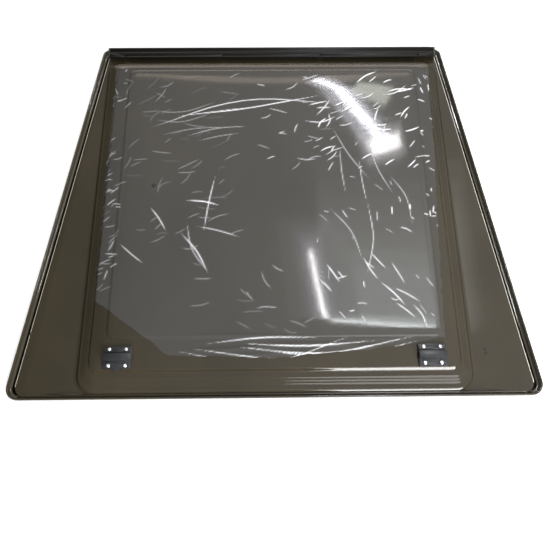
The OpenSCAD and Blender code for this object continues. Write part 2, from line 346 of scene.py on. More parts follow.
def copy_piece(piece, name, offset):
    """A copy of a finished piece with its own mesh, moved by an offset."""
    work_on(piece)
    bpy.ops.object.duplicate()
    twin = take_name(name)
    edit(twin)
    bpy.ops.mesh.select_all(action="SELECT")
    bpy.ops.transform.translate(value=offset)
    close_edit()
    return twin


def face_outwards(piece):
    """Closes doubles and turns all faces outwards."""
    edit(piece)
    bpy.ops.mesh.select_all(action="SELECT")
    bpy.ops.mesh.remove_doubles(threshold=0.002 * MM)
    bpy.ops.mesh.normals_make_consistent(inside=False)
    close_edit()


def finish_piece(piece, body, slot_name, material, nodes=(), angle=35):
    """Shades a piece, gives it its finish and ties it to its body."""
    work_on(piece)
    bpy.ops.object.shade_smooth_by_angle(angle=math.radians(angle))
    piece.data.materials.clear()
    piece.data.materials.append(material)
    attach(piece, body)
    if nodes:
        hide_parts(*nodes)
    return piece


# ---------------------------------------------------------------- rings of the skins

# Pieces in a rounded corner, cuts in a straight side, and the length past which a side is a straight one
ARC = 8
CUTS = 15
STRAIGHT = 0.2
# The tightest corner that a ring can have
SHARP = 0.2 * MM
# The outer skin's lower edge and the fillet inside its rim, in millimetres: how far in and how high rings are
LOWER_EDGE = ((3.4, 0), (2.6, 0), (1.2, 0.35), (0.35, 1.2), (0, 2.6))
FILLET = ((0.6, 2.6), (1.4, 1.1), (2.6, 0.3), (4.2, 0), (5, 0))
# Where the middle ring of a rounded edge lies, as a share of its radius
EASED = 0.3
# The inner skin's cut edge, in millimetres: how far in and how far below the flange each ring is
CUT_EDGE = ((0, 0.6), (0.9, 0.1), (1.3, 0))
# How far the foot of the first step stands out at the free edge
FOOT_OUT = 2.3 * MM
# Where the rings of a riser lie across its run, and those of the flange between the cut edge and the foot
RISER_STOPS = (-0.5, -0.33, -0.16, 0.0, 0.16, 0.33, 0.5)
FLANGE_STOPS = (0.2, 0.4, 0.6, 0.8, 0.95)
# Lifts that the field's swelling is made in
PILLOW_LAYERS = 10


def half_width(y):
    """Half the width of the pane, before its corners are rounded."""
    skins = settings().skins
    lean = math.tan(skins.side_angle)
    at_free = OUTER_HIGH.x - skins.free_corner + skins.free_corner / math.cos(skins.side_angle)
    return at_free - lean * (y - OUTER_LOW.y - skins.free_corner)


def pane_ring(free, side, hinge, free_corner, hinge_corner, z):
    """A ring that follows the pane's outline, moved in at the free edge, the sides and the hinge."""
    angle = settings().skins.side_angle
    y_near = OUTER_LOW.y + free
    y_far = OUTER_HIGH.y - hinge
    near_angle = (math.pi / 2 - angle) / 2
    far_angle = (math.pi / 2 + angle) / 2
    return {
        "x_near": half_width(y_near) - side / math.cos(angle),
        "x_far": half_width(y_far) - side / math.cos(angle),
        "y_near": y_near, "y_far": y_far,
        "near": max(free_corner, SHARP) / math.tan(near_angle),
        "far": max(hinge_corner, SHARP) / math.tan(far_angle),
        "z": z,
    }


def plateau_ring(free, side, hinge, corner, z):
    """A ring that follows the plateau's foot, moved in at the free edge, the sides and the hinge."""
    steps = settings().steps
    x = steps.foot_half_width - side
    return {
        "x_near": x, "x_far": x,
        "y_near": OUTER_LOW.y + steps.foot_free + free,
        "y_far": CAD_BOX[1].y - steps.foot_hinge - hinge,
        "near": corner, "far": corner, "z": z,
    }


def ring_between(first, second, share):
    """A ring part of the way from one ring to another."""
    return {key: first[key] * (1 - share) + second[key] * share for key in first}


def add_ring(number, ring):
    """Draws one ring into the open piece: a plane, its corners rounded and its sides divided."""
    piece = bpy.context.object
    bpy.ops.mesh.select_mode(type="VERT")
    bpy.ops.mesh.select_all(action="DESELECT")
    bpy.ops.mesh.primitive_plane_add(size=1.0, location=(0, 0, ring["z"]))

    def fresh(test):
        layer = bmesh.from_edit_mesh(piece.data).verts.layers.int["ring"]
        select("VERT", lambda v: v[layer] == 0 and test(v.co))

    for sign, x, y in ((-1, ring["x_near"], ring["y_near"]), (1, ring["x_far"], ring["y_far"])):
        fresh(lambda co: abs(co.y - sign * 0.5) < 1e-6)
        bpy.ops.transform.resize(value=(2 * x, 1, 1))
        bpy.ops.transform.translate(value=(0, y - sign * 0.5, 0))
    middle = (ring["y_near"] + ring["y_far"]) / 2
    for sign, reach in ((-1, ring["near"]), (1, ring["far"])):
        edge = ring["y_near"] if sign < 0 else ring["y_far"]
        fresh(lambda co: (co.y - middle) * sign > 0 and abs(co.y - edge) < 1e-6)
        bpy.ops.mesh.bevel(offset=reach, offset_type="OFFSET", segments=ARC, affect="VERTICES", profile=0.5)
    layer = bmesh.from_edit_mesh(piece.data).verts.layers.int["ring"]
    select("FACE", lambda f: all(v[layer] == 0 for v in f.verts))
    bpy.ops.mesh.delete(type="ONLY_FACE")
    layer = bmesh.from_edit_mesh(piece.data).verts.layers.int["ring"]
    select("EDGE", lambda e: all(v[layer] == 0 for v in e.verts) and e.calc_length() > STRAIGHT)
    bpy.ops.mesh.subdivide(number_cuts=CUTS)
    open_mesh = bmesh.from_edit_mesh(piece.data)
    layer = open_mesh.verts.layers.int["ring"]
    for v in open_mesh.verts:
        if v[layer] == 0:
            v[layer] = number
    bmesh.update_edit_mesh(piece.data)


def select_rings(first, second):
    """Selects the edges of two rings."""
    layer = bmesh.from_edit_mesh(bpy.context.object.data).verts.layers.int["ring"]
    select("EDGE", lambda e: e.verts[0][layer] == e.verts[1][layer] and e.verts[0][layer] in (first, second))


def ring_stack(name, rings):
    """A skin drawn as a stack of rings, each bridged to the next."""
    deselect_all()
    bpy.ops.mesh.primitive_plane_add(size=1.0)
    piece = take_name(name)
    edit(piece)
    bpy.ops.mesh.select_all(action="SELECT")
    bpy.ops.mesh.delete(type="VERT")
    bmesh.from_edit_mesh(piece.data).verts.layers.int.new("ring")
    for number, ring in enumerate(rings, 1):
        add_ring(number, ring)
        if number > 1:
            select_rings(number - 1, number)
            bpy.ops.mesh.bridge_edge_loops()
    return piece


def fill_ring(number):
    """Closes one ring with a single face."""
    select_rings(number, number)
    bpy.ops.mesh.edge_face_add()


def fill_ring_with_grid(number):
    """Closes one ring with a grid whose corners are in the middle of the ring's corners."""
    select_rings(number, number)
    open_mesh = bmesh.from_edit_mesh(bpy.context.object.data)
    layer = open_mesh.verts.layers.int["ring"]
    members = [v for v in open_mesh.verts if v[layer] == number]
    corner = max(members, key=lambda v: v.co.x + v.co.y)
    bpy.ops.mesh.select_mode(type="VERT")
    open_mesh.select_history.clear()
    open_mesh.select_history.add(corner)
    bmesh.update_edit_mesh(bpy.context.object.data)
    bpy.ops.mesh.fill_grid(span=ARC + CUTS + 1, offset=0)


def close_rings(piece):
    """Drops the ring numbers and leaves edit mode."""
    open_mesh = bmesh.from_edit_mesh(piece.data)
    open_mesh.verts.layers.int.remove(open_mesh.verts.layers.int["ring"])
    bmesh.update_edit_mesh(piece.data)
    close_edit()


# ---------------------------------------------------------------- finishes


class Finish:
    """Builds one material's nodes."""

    def __init__(self, name):
        self.material = bpy.data.materials.new(name)
        self.material.use_nodes = True
        self.nodes = self.material.node_tree.nodes
        self.links = self.material.node_tree.links
        self.nodes.clear()
        self.output = self.nodes.new("ShaderNodeOutputMaterial")
        self.shader = self.nodes.new("ShaderNodeBsdfPrincipled")
        self.link(self.shader.outputs["BSDF"], self.output.inputs["Surface"])
        self.coordinates = self.nodes.new("ShaderNodeTexCoord")

    def link(self, start, end):
        """Joins two sockets."""
        self.links.new(start, end)

    def put(self, **values):
        """Sets sockets of the shader that are the same all over."""
        for name, value in values.items():
            self.shader.inputs[name.replace("_", " ")].default_value = value

    def mapped(self, scale):
        """Object coordinates, stretched."""
        mapping = self.nodes.new("ShaderNodeMapping")
        mapping.inputs["Scale"].default_value = scale
        self.link(self.coordinates.outputs["Object"], mapping.inputs["Vector"])
        return mapping.outputs["Vector"]

    def noise(self, scale, stretch=(1, 1, 1), detail=3.0, roughness=0.5):
        """Noise, in metres."""
        node = self.nodes.new("ShaderNodeTexNoise")
        node.inputs["Scale"].default_value = scale
        node.inputs["Detail"].default_value = detail
        node.inputs["Roughness"].default_value = roughness
        self.link(self.mapped(stretch), node.inputs["Vector"])
        return node.outputs["Fac"]

    def ramp(self, value, stops):
        """Maps a number through colour stops."""
        node = self.nodes.new("ShaderNodeValToRGB")
        points = node.color_ramp.elements
        while len(points) < len(stops):
            points.new(0.5)
        for point, (place, colour) in zip(points, stops):
            point.position = place
            point.color = (*colour, 1.0)
        self.link(value, node.inputs["Fac"])
        return node.outputs["Color"]

    def spread(self, value, low, high, start=0.3, end=0.7):
        """Maps a number between two values."""
        node = self.nodes.new("ShaderNodeMapRange")
        node.inputs["From Min"].default_value = start
        node.inputs["From Max"].default_value = end
        node.inputs["To Min"].default_value = low
        node.inputs["To Max"].default_value = high
        self.link(value, node.inputs["Value"])
        return node.outputs["Result"]

    def bump(self, height, distance, strength=0.5):
        """Raises the surface by a height."""
        node = self.nodes.new("ShaderNodeBump")
        node.inputs["Strength"].default_value = strength
        node.inputs["Distance"].default_value = distance
        self.link(height, node.inputs["Height"])
        self.link(node.outputs["Normal"], self.shader.inputs["Normal"])

    def colour(self, value, low, high, start=0.35, end=0.65):
        """Colours the surface between two tones."""
        self.link(self.ramp(value, ((start, low), (end, high))), self.shader.inputs["Base Color"])


def toned(colour, factor):
    """A colour made lighter or darker."""
    return tuple(min(1.0, part * factor) for part in colour)


def smoked_acrylic(name, colour, cover):
    """Smoked acrylic: glossy, with faint clouds of dust and fine rubbing marks."""
    finish = Finish(name)
    finish.put(IOR=1.49, Alpha=cover)
    finish.colour(finish.noise(5.0, detail=4.0), toned(colour, 0.88), toned(colour, 1.2))
    rubbed = finish.noise(40.0, stretch=(1, 9, 1), detail=5.0, roughness=0.7)
    finish.link(finish.spread(rubbed, 0.035, 0.085), finish.shader.inputs["Roughness"])
    finish.bump(finish.noise(4.0, detail=1.0), 0.5 * MM, 0.25)
    return finish.material


def black_metal(name, colour):
    """Black anodised aluminium, drawn along its length."""
    finish = Finish(name)
    finish.put(IOR=1.5, Specular_IOR_Level=0.12)
    drawn = finish.noise(60.0, stretch=(0.02, 14, 14), detail=4.0, roughness=0.65)
    finish.colour(drawn, toned(colour, 0.7), toned(colour, 1.5))
    finish.link(finish.spread(drawn, 0.24, 0.38), finish.shader.inputs["Roughness"])
    finish.bump(drawn, 0.02 * MM, 0.4)
    return finish.material


def moulded_plastic(name, colour, gloss=0.3, grain=900.0):
    """Black moulded plastic or rubber with a fine grain."""
    finish = Finish(name)
    finish.put(IOR=1.5, Specular_IOR_Level=0.36)
    grainy = finish.noise(grain, detail=2.0)
    finish.colour(finish.noise(60.0), toned(colour, 0.8), toned(colour, 1.3))
    finish.link(finish.spread(grainy, gloss, gloss + 0.14), finish.shader.inputs["Roughness"])
    finish.bump(grainy, 0.04 * MM, 0.35)
    return finish.material


def bright_steel(name, colour):
    """Zinc plated steel."""
    finish = Finish(name)
    finish.put(Metallic=0.9)
    finish.colour(finish.noise(500.0), toned(colour, 0.9), toned(colour, 1.05))
    finish.link(finish.spread(finish.noise(900.0), 0.22, 0.36), finish.shader.inputs["Roughness"])
    return finish.material


def clear_film(name, tone, crease):
    """Thin clear film whose creases are painted white and less see-through, for their stress whitening and
    for the highlights that they catch.
    """
    finish = Finish(name)
    finish.put(IOR=1.5, Specular_IOR_Level=0.12)
    # The crease attribute paints the creases' highlights as well as their stress whitening, in the base
    # colour and in the alpha
    attribute = finish.nodes.new("ShaderNodeAttribute")
    attribute.attribute_name = "crease"
    crease_whitening_and_highlight = attribute.outputs["Fac"]
    finish.link(finish.ramp(crease_whitening_and_highlight, ((0.02, tone), (0.75, crease))), finish.shader.inputs["Base Color"])
    finish.link(finish.spread(crease_whitening_and_highlight, 0.17, 0.95, 0.0, 0.8), finish.shader.inputs["Alpha"])
    finish.link(finish.spread(finish.noise(25.0), 0.26, 0.38), finish.shader.inputs["Roughness"])
    return finish.material


def plain_tone(name, colour, rough=0.6, scale=80.0, bump=0.05, mottled=0.13):
    """A plain matt finish with a fine mottle."""
    finish = Finish(name)
    mottle = finish.noise(scale, detail=4.0)
    finish.colour(mottle, toned(colour, 1 - mottled), toned(colour, 1 + mottled))
    finish.link(finish.spread(mottle, rough - 0.06, rough + 0.06), finish.shader.inputs["Roughness"])
    finish.bump(mottle, bump * MM, 0.3)
    return finish.material


# ---------------------------------------------------------------- operators


class ROOFLIGHT_OT_outer_skin(bpy.types.Operator):
    """Makes the outer skin: a shallow tray with an upturned, rounded rim"""

    bl_idname = "rooflight.outer_skin"
    bl_label = "Outer skin"
    bl_options = {"REGISTER", "UNDO"}

    def execute(self, context):
        user = settings()
        skins = user.skins
        top = OUTER_HIGH.z
        edge = skins.rim_round
        rim = skins.rim_width
        floor = skins.sheet

        def ring(inset, z):
            return pane_ring(inset, inset, inset, skins.free_corner - inset, skins.hinge_corner - inset, z)

        rings = [
            *(ring(inset * MM, up * MM) for inset, up in LOWER_EDGE),
            ring(0, top - edge), ring(edge * EASED, top - edge * EASED), ring(edge, top),
            ring(rim - edge, top), ring(rim - edge * EASED, top - edge * EASED), ring(rim, top - edge),
            *(ring(rim + inset * MM, floor + up * MM) for inset, up in FILLET),
        ]
        piece = ring_stack("outer_skin", rings)
        fill_ring(1)
        fill_ring(len(rings))
        close_rings(piece)
        face_outwards(piece)
        beside, before, above = 4.5 * MM, 2.2 * MM, 0.2 * MM
        room = RAIL_HIGH.x + beside
        corner = (-room, RAIL_LOW.y - before, floor + above)
        cut_away(piece, add_block("rail_room", corner, (room, 1, 1)))
        finishes = user.finishes
        material = smoked_acrylic("smoked_acrylic_outer", finishes.outer_acrylic, finishes.acrylic_cover)
        finish_piece(piece, "pane", "smoked_acrylic_outer", material, ["outer_pane"])
        return {"FINISHED"}


class ROOFLIGHT_OT_inner_skin(bpy.types.Operator):
    """Makes the inner skin: a flange, three rounded steps and a raised, pillowed field"""

    bl_idname = "rooflight.inner_skin"
    bl_label = "Inner skin"
    bl_options = {"REGISTER", "UNDO"}

    def execute(self, context):
        user = settings()
        skins = user.skins
        steps = user.steps
        flange = TAPE_LOW.z
        field = INNER_HIGH.z
        plateau = PAD_LOW.z
        rise = (plateau - flange) / 3
        foot = (-FOOT_OUT, 0, 0)
        # Each level: how far it stands in, which rib it is, its corner and the heights it joins
        levels = [(foot, 0, steps.foot_corner + 2 * MM, flange, flange + rise)]
        for apart in (-1, 0, 1):
            corner = steps.foot_corner - 6 * MM - apart * steps.rib[1]
            low = flange + rise * (1 + (apart + 1) / 3)
            high = flange + rise * (1 + (apart + 2) / 3)
            levels.append((steps.middle, apart, corner, low, high))
        levels.append((steps.top, 0, steps.foot_corner - 10 * MM, flange + 2 * rise, plateau))
        levels.append((steps.field, 0, steps.foot_corner - 14 * MM, plateau, field))
        rings = [
            pane_ring(skins.cut_free + inset, skins.cut_side + inset, inset, skins.cut_free_corner - inset,
                      skins.cut_hinge_corner - inset, flange - drop)
            for inset, drop in ((part[0] * MM, part[1] * MM) for part in CUT_EDGE)
        ]
        for inset, apart, corner, low, high in levels:
            for along in RISER_STOPS:
                share_up = 0.5 + 0.5 * math.sin(math.pi * along)
                place = [part + along * run + apart * rib
                         for part, run, rib in zip(inset, steps.run, steps.rib)]
                height = low + steps.slope + (high - low - steps.slope) * share_up
                rings.append(plateau_ring(*place, corner - along * steps.run[1], height))
        rings.append(plateau_ring(*[part + 4 * MM for part in place], corner - 3 * MM, field + 0.1 * MM))
        rings[3:3] = [ring_between(rings[2], rings[3], share) for share in FLANGE_STOPS]
        piece = ring_stack("inner_skin", rings)
        fill_ring_with_grid(len(rings))
        middle = (rings[-1]["y_near"] + rings[-1]["y_far"]) / 2
        half = (rings[-1]["y_far"] - rings[-1]["y_near"]) / 2
        for layer in range(1, PILLOW_LAYERS):
            reach = 1 - layer / PILLOW_LAYERS
            select("VERT", lambda v: v.co.z > field - 0.01 * MM
                   and (v.co.x / rings[-1]["x_near"]) ** 2 + ((v.co.y - middle) / half) ** 2 < reach * 1.1)
            bpy.ops.transform.translate(value=(0, 0, skins.pillow / PILLOW_LAYERS))
        select("VERT", lambda v: v.co.z > field - 0.01 * MM)
        bpy.ops.mesh.vertices_smooth(factor=0.5, repeat=24, xaxis=False, yaxis=False)
        close_rings(piece)
        face_outwards(piece)
        modify(piece, "SOLIDIFY", thickness=skins.inner_sheet - 0.02 * MM, offset=-1, use_even_offset=False)
        finishes = user.finishes
        material = smoked_acrylic("smoked_acrylic_inner", finishes.inner_acrylic, finishes.acrylic_cover)
        finish_piece(piece, "pane", "smoked_acrylic_inner", material, ["inner_pane"])
        # The sawn edge along the sides gets a pale finish that paints the highlight it catches
        piece.data.materials.append(plain_tone("cut_edge_painted_highlight", finishes.cut_edge, 0.35, 300.0))
        ends = rings[0]["y_near"] + skins.cut_free_corner, rings[0]["y_far"] - 8 * MM
        for face in piece.data.polygons:
            near_side = half_width(face.center.y) - abs(face.center.x) - skins.cut_side < 1.35 * MM
            if near_side and ends[0] < face.center.y < ends[1] and 0.05 < face.normal.z < 0.9:
                face.material_index = 1
        return {"FINISHED"}


class ROOFLIGHT_OT_film(bpy.types.Operator):
    """Lays the torn, wrinkled protective film over the plateau"""

    bl_idname = "rooflight.film"
    bl_label = "Protective film"
    bl_options = {"REGISTER", "UNDO"}

    def execute(self, context):
        user = settings()
        film = lay_film(user)
        material = clear_film("clear_film", user.finishes.film_tone, user.finishes.film_crease_white_and_highlight)
        finish_piece(film, "pane", "clear_film", material, ["protective_film"], angle=180)
        return {"FINISHED"}


def smooth_step(value, low, high):
    """0 below low, 1 above high, eased between."""
    t = np.clip((value - low) / (high - low), 0, 1)
    return t * t * (3 - 2 * t)


def bed_height(x, y, user):
    """Height of what the film lies on: the inner skin, bridged where it falls away at the plateau's edge."""
    skin = BVHTree.FromObject(bpy.data.objects["inner_skin"], bpy.context.evaluated_depsgraph_get())
    down = Vector((0, 0, -1))
    top = np.array([
        skin.ray_cast(Vector((a, b, 1)), down)[0].z for a, b in zip(x.ravel(), y.ravel())
    ]).reshape(x.shape)
    return np.maximum(top, PAD_LOW.z - 3.5 * MM)


# Families of creases: how many, where their middles lie as shares of the film's width and depth, their
# direction and its scatter in degrees, their length and half thickness in millimetres, and their whiteness,
# which paints the highlights that the creases catch as well as their stress whitening, brighter in the
# families on the right, where the light falls
CREASES = (
    (2, (0.40, 0.60), (0.78, 0.88), 6, 3, (260, 380), 1.5, (0.55, 0.75)),
    (6, (0.10, 0.45), (0.65, 0.95), 14, 10, (60, 130), 1.3, (0.30, 0.50)),
    (7, (0.70, 0.90), (0.25, 0.65), 100, 14, (80, 140), 1.3, (0.45, 0.70)),
    (14, (0.60, 0.95), (0.70, 0.95), 20, 25, (25, 60), 1.5, (0.65, 0.95)),
    (9, (0.60, 0.90), (0.10, 0.30), -52, 12, (30, 60), 1.4, (0.65, 0.85)),
    (7, (0.05, 0.35), (0.20, 0.50), -40, 40, (50, 110), 1.5, (0.40, 0.85)),
    (6, (0.40, 0.80), (0.00, 0.07), 2, 4, (160, 280), 1.4, (0.45, 0.80)),
    (34, (0.65, 0.95), (0.55, 0.95), 32, 18, (10, 32), 1.4, (0.35, 0.90)),
    (26, (0.45, 0.70), (0.60, 0.95), 18, 22, (12, 40), 1.4, (0.20, 0.60)),
    (60, (0.00, 0.40), (0.35, 0.95), 25, 24, (14, 50), 1.4, (0.08, 0.30)),
    (30, (0.60, 0.95), (0.10, 0.55), -50, 35, (8, 24), 1.4, (0.25, 0.80)),
    (16, (0.25, 0.60), (0.05, 0.35), -12, 28, (12, 40), 1.4, (0.12, 0.40)),
    (22, (0.95, 1.00), (0.35, 0.95), -60, 40, (6, 18), 1.4, (0.40, 1.00)),
    (40, (0.00, 0.05), (0.20, 1.00), 25, 30, (8, 26), 1.4, (0.15, 0.45)),
)
# A crease's bow as a share of its half length, the share of its half thickness that is drawn, how many times
# wider it is raised than whitened, its height, and the most that creases raise the film
BOW = 0.12
THINNED = 0.82
SWELL = 2.2
CREASE_HEIGHT = 0.45 * MM
HIGHEST_CREASE = 1.4 * MM
# Low folds along the film's near edge in millimetres: how far in, their swing, its length and their height
FOLDS = ((28, 3, 70, 1.6), (13, 4, 52, 2.0), (1, 3, 38, 1.2))
FOLD_WIDTH = 3.2
# Broad waves of the film: how many, their lengths in millimetres, and their height as a share of their length
WAVES = 14
WAVE_LENGTHS = (35, 160)
WAVE_SHARE = 0.0011
# How far the torn near edge and the torn sides stray
TORN_NEAR = 2.0 * MM
TORN_SIDE = 2.2 * MM
# The hole that the film leaves round the centre plug
PLUG_HOLE = 4 * MM


def smooth_line(points, cuts=6):
    """More points along a smooth line through a few."""
    points = np.array(points, float)
    padded = np.vstack((2 * points[0] - points[1], points, 2 * points[-1] - points[-2]))
    line = []
    for before, start, end, after in zip(padded, padded[1:], padded[2:], padded[3:]):
        for t in np.arange(cuts) / cuts:
            square = 2 * before - 5 * start + 4 * end - after
            cube = 3 * start - before - 3 * end + after
            line.append(0.5 * (2 * start + (end - before) * t + square * t ** 2 + cube * t ** 3))
    return np.array(line + [points[-1]])


def crease_lines(random):
    """Three points, the half thickness and the whiteness of each crease, drawn family by family; the
    whiteness paints highlight as well as stress whitening.
    """
    low = np.array(FILM_LOW[:2])
    size = np.array(FILM_HIGH[:2]) - low
    for count, across_share, along_share, turn, scatter, reach, thick, strength in CREASES:
        for _ in range(count):
            centre = low + size * (random.uniform(*across_share), random.uniform(*along_share))
            angle = math.radians(random.normal(turn, scatter))
            along = np.array([math.cos(angle), math.sin(angle)]) * random.uniform(*reach) * MM / 2
            bow = np.array([-along[1], along[0]]) * random.normal(0, BOW)
            yield (centre - along, centre + bow, centre + along), thick, random.uniform(*strength)


def draw_creases(x, y, user):
    """Whiteness and height of the film's creases at each of its points; the whiteness is painted highlight as
    well as stress whitening.
    """
    random = np.random.default_rng(user.film.seed)
    whitening_and_highlight = np.zeros(x.size)
    raised = np.zeros(x.size)
    flat = np.stack((x.ravel(), y.ravel()), axis=1)
    for points, thick, strength in crease_lines(random):
        line = smooth_line(points)
        thick = THINNED * thick * MM
        spare = 4 * thick
        near = np.flatnonzero(((flat > line.min(0) - spare) & (flat < line.max(0) + spare)).all(1))
        if not near.size:
            continue
        place = flat[near]
        best = np.full(near.size, 1.0)
        along = np.zeros(near.size)
        for number, (start, end) in enumerate(zip(line, line[1:])):
            step = end - start
            t = np.clip(((place - start) @ step) / (step @ step), 0, 1)
            gap = np.hypot(*(place - start - t[:, None] * step).T)
            closer = gap < best
            best = np.where(closer, gap, best)
            along = np.where(closer, (number + t) / (len(line) - 1), along)
        taper = np.sqrt(np.clip(5 * along * (1 - along), 0.08, 1))
        # Painted highlight and stress whitening along the crease
        whitening_and_highlight[near] = np.maximum(whitening_and_highlight[near], strength * taper * np.exp(-(best / (thick * taper)) ** 2))
        raised[near] += CREASE_HEIGHT * strength * taper * np.exp(-(best / (SWELL * thick)) ** 2)
    return whitening_and_highlight.reshape(x.shape), np.minimum(raised, HIGHEST_CREASE).reshape(x.shape)


def lay_film(user):
    """The film as one sheet of small squares, fitted between its torn edges."""
    random = np.random.default_rng(user.film.seed + 1)
    count = user.film.columns
    u = np.linspace(0, 1, count + 1)
    across = FILM_HIGH.x - FILM_LOW.x
    x_near = FILM_LOW.x + 3 * MM + u * (across - 29 * MM)
    x_far = FILM_LOW.x + u * across
    left_cut = FILM_LOW.x + user.film.cut_edge
    bends = (x_near[0], left_cut, FILM_LOW.x + 287 * MM, FILM_HIGH.x - 98 * MM, x_near[-1])
    inwards = np.array((user.film.cut_side, 1 * MM, -4 * MM, 12 * MM, 26 * MM))
    y_near = np.interp(x_near, bends, FILM_LOW.y + inwards)
    torn = np.convolve(random.normal(0, 1, count + 9), np.ones(9) / 9, "valid")
    y_near = y_near + torn * TORN_NEAR
    torn_side = np.convolve(random.normal(0, 1, count + 5), np.ones(5) / 5, "valid")
    v = np.linspace(0, 1, count + 1)
    vv, uu = np.meshgrid(v, u, indexing="ij")
    x = x_near[None, :] * (1 - vv) + x_far[None, :] * vv
    y = y_near[None, :] * (1 - vv) + FILM_HIGH.y * vv
    wobble = torn_side[:, None] * TORN_SIDE
    x = x + wobble * smooth_step(uu, 0.95, 1.0)
    x = x + np.roll(wobble, 40, axis=0) * smooth_step(1 - uu, 0.97, 1.0)
    whitening_and_highlight, raised = draw_creases(x, y, user)
    waves = np.zeros_like(x)
    for _ in range(WAVES):
        angle = random.uniform(0, math.pi)
        wave = random.uniform(*WAVE_LENGTHS) * MM
        phase = random.uniform(0, 2 * math.pi)
        run = x * math.cos(angle) + y * math.sin(angle)
        waves += WAVE_SHARE * wave * np.sin(2 * math.pi * run / wave + phase)
    folds = np.zeros_like(x)
    for inset, swing, turn, height in FOLDS:
        ridge = (y - FILM_LOW.y) / MM - inset - swing * np.sin(x / MM / turn + inset)
        folds += height * MM * np.exp(-(ridge / FOLD_WIDTH) ** 2)
    folds *= smooth_step(x, FILM_LOW.x + 115 * MM, FILM_LOW.x + 225 * MM)
    folds *= 1 - smooth_step(x, FILM_HIGH.x - 81 * MM, FILM_HIGH.x - 46 * MM)
    z = bed_height(x, y, user) + user.film.lift + raised + np.maximum(waves + 0.5 * MM, 0) + folds
    rows = count + 1
    verts = np.stack([x, y, z], axis=-1).reshape(-1, 3)
    corner = (np.arange(count)[:, None] * rows + np.arange(count)[None, :]).ravel()
    faces = np.stack([corner, corner + 1, corner + rows + 1, corner + rows], axis=1)
    plug_low, plug_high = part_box("breather_plug_centre")
    plug = (plug_low + plug_high) / 2
    middle = verts[faces].mean(axis=1)
    faces = faces[np.hypot(middle[:, 0] - plug.x, middle[:, 1] - plug.y) > PLUG_HOLE]
    mesh = bpy.data.meshes.new("film")
    mesh.from_pydata(verts.tolist(), [], faces.tolist())
    mesh.update()
    # The crease attribute carries the painted highlights of the creases as well as their stress whitening
    crease = mesh.attributes.new("crease", "FLOAT", "POINT")
    crease.data.foreach_set("value", whitening_and_highlight.ravel().astype(np.float32))
    film = bpy.data.objects.new("film", mesh)
    bpy.context.scene.collection.objects.link(film)
    edit(film)
    bpy.ops.mesh.select_mode(type="VERT")
    bpy.ops.mesh.select_loose()
    bpy.ops.mesh.delete(type="VERT")
    close_edit()
    return film


class ROOFLIGHT_OT_hinge(bpy.types.Operator):
    """Makes the two aluminium hinge profiles, their end caps and the seal"""

    bl_idname = "rooflight.hinge"
    bl_label = "Hinge profiles, caps and seal"
    bl_options = {"REGISTER", "UNDO"}

    def execute(self, context):
        user = settings()
        metal = black_metal("black_aluminium", user.finishes.aluminium)
        plastic = moulded_plastic("black_plastic_caps", user.finishes.plastic)
        rubber = moulded_plastic("black_rubber_seal", user.finishes.rubber, 0.45, 600.0)
        for name, node, body, slot_name, material, width in (
            ("pane_profile", "pane_hinge_profile", "pane", "black_aluminium", metal, 0.2 * MM),
            ("roof_profile", "roof_hinge_profile", "roof_rail", "black_aluminium", metal, 0.25 * MM),
            ("end_cap_left", "rail_end_cap_left", "roof_rail", "black_plastic", plastic, 0.5 * MM),
            ("end_cap_right", "rail_end_cap_right", "roof_rail", "black_plastic", plastic, 0.5 * MM),
            ("seal", "rail_seal", "roof_rail", "black_rubber", rubber, 0.3 * MM),
        ):
            piece = copy_node(name, node)
            soften(piece, width)
            finish_piece(piece, body, slot_name, material, [node])
        return {"FINISHED"}


class ROOFLIGHT_OT_brackets(bpy.types.Operator):
    """Makes the stay brackets with their softened edges"""

    bl_idname = "rooflight.brackets"
    bl_label = "Stay brackets"
    bl_options = {"REGISTER", "UNDO"}

    def execute(self, context):
        user = settings()
        plastic = moulded_plastic("black_plastic", user.finishes.plastic, 0.26)
        for side in ("left", "right"):
            piece = copy_node(f"bracket_{side}", f"stay_bracket_{side}")
            soften(piece, 0.5 * MM)
            finish_piece(piece, "pane", "black_plastic", plastic, [f"stay_bracket_{side}"])
        return {"FINISHED"}


